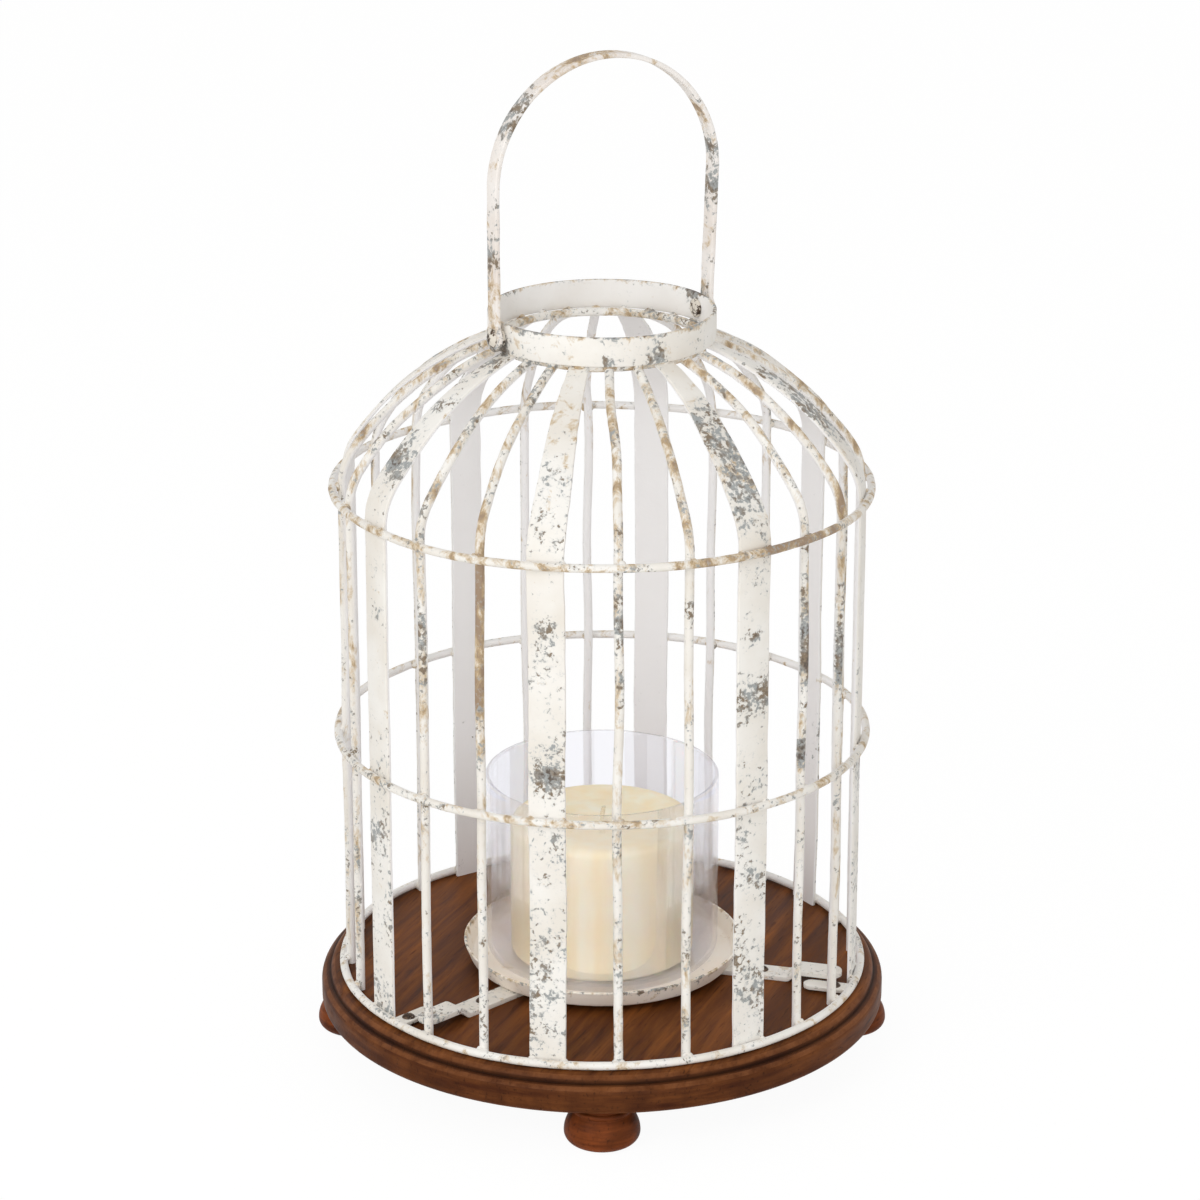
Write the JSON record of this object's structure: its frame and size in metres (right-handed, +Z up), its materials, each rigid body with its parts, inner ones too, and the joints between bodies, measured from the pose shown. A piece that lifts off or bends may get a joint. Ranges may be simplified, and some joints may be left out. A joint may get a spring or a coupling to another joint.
{
  "type": "candle lantern",
  "caption": "Birdcage candle lantern: painted wire and strap dome on a turned wooden base with bun feet, carrying handle, glass cup and pillar candle.",
  "frame": {"origin": "on the floor, under the centre of the round base", "axes": "+Z up along the lantern's axis, -Y towards the front foot, +X towards the right foot"},
  "size_m": [0.2844, 0.2844, 0.4939],
  "materials": {
    "chalk_paint": "matt cream paint, worn and chipped",
    "stained_wood": "dark walnut stain, satin",
    "dark_steel": "darkened",
    "clear_glass": "polished",
    "wax": "smooth ivory wax",
    "cotton": "waxed braid"
  },
  "bodies": {
    "base": {"base_board": "stained_wood", "foot_front": "stained_wood", "foot_right": "stained_wood", "foot_back": "stained_wood", "foot_left": "stained_wood", "foot_dowels": "stained_wood", "candle_tray": "chalk_paint", "tray_arm_1": "chalk_paint", "tray_arm_2": "chalk_paint", "tray_arm_3": "chalk_paint", "arm_screws": "dark_steel"},
    "cage": {"bottom_ring": "chalk_paint", "middle_hoop": "chalk_paint", "top_hoop": "chalk_paint", "collar_ring": "chalk_paint", "collar": "chalk_paint", "pivot_rivets": "dark_steel", "flat_rib_1": "chalk_paint", "flat_rib_2": "chalk_paint", "flat_rib_3": "chalk_paint", "flat_rib_4": "chalk_paint", "flat_rib_5": "chalk_paint", "flat_rib_6": "chalk_paint", "flat_rib_7": "chalk_paint", "flat_rib_8": "chalk_paint", "rod_rib_1": "chalk_paint", "rod_rib_2": "chalk_paint", "rod_rib_3": "chalk_paint", "rod_rib_4": "chalk_paint", "rod_rib_5": "chalk_paint", "rod_rib_6": "chalk_paint", "rod_rib_7": "chalk_paint", "rod_rib_8": "chalk_paint", "rod_rib_9": "chalk_paint", "rod_rib_10": "chalk_paint", "rod_rib_11": "chalk_paint", "rod_rib_12": "chalk_paint", "rod_rib_13": "chalk_paint", "rod_rib_14": "chalk_paint", "rod_rib_15": "chalk_paint", "rod_rib_16": "chalk_paint", "ring_lug_1": "chalk_paint", "ring_lug_2": "chalk_paint", "ring_lug_3": "chalk_paint", "lug_screws": "dark_steel"},
    "bail": {"bail": "chalk_paint"},
    "glass": {"glass_cup": "clear_glass"},
    "candle": {"candle": "wax", "wick": "cotton"}
  },
  "joints": [
    {"name": "cage_lift", "type": "slide", "parent": "base", "child": "cage", "axis": [0, 0, 1], "range_m": [0, 0.25]},
    {"name": "bail_swing", "type": "hinge", "parent": "cage", "child": "bail", "pos_m": [0, 0, 0.36545], "axis": [-0.8704, -0.4924, 0], "range_deg": [-103, 103]},
    {"name": "glass_lift", "type": "slide", "parent": "base", "child": "glass", "axis": [0, 0, 1], "range_m": [0, 0.2]},
    {"name": "candle_lift", "type": "slide", "parent": "glass", "child": "candle", "axis": [0, 0, 1], "range_m": [0, 0.13]}
  ]
}
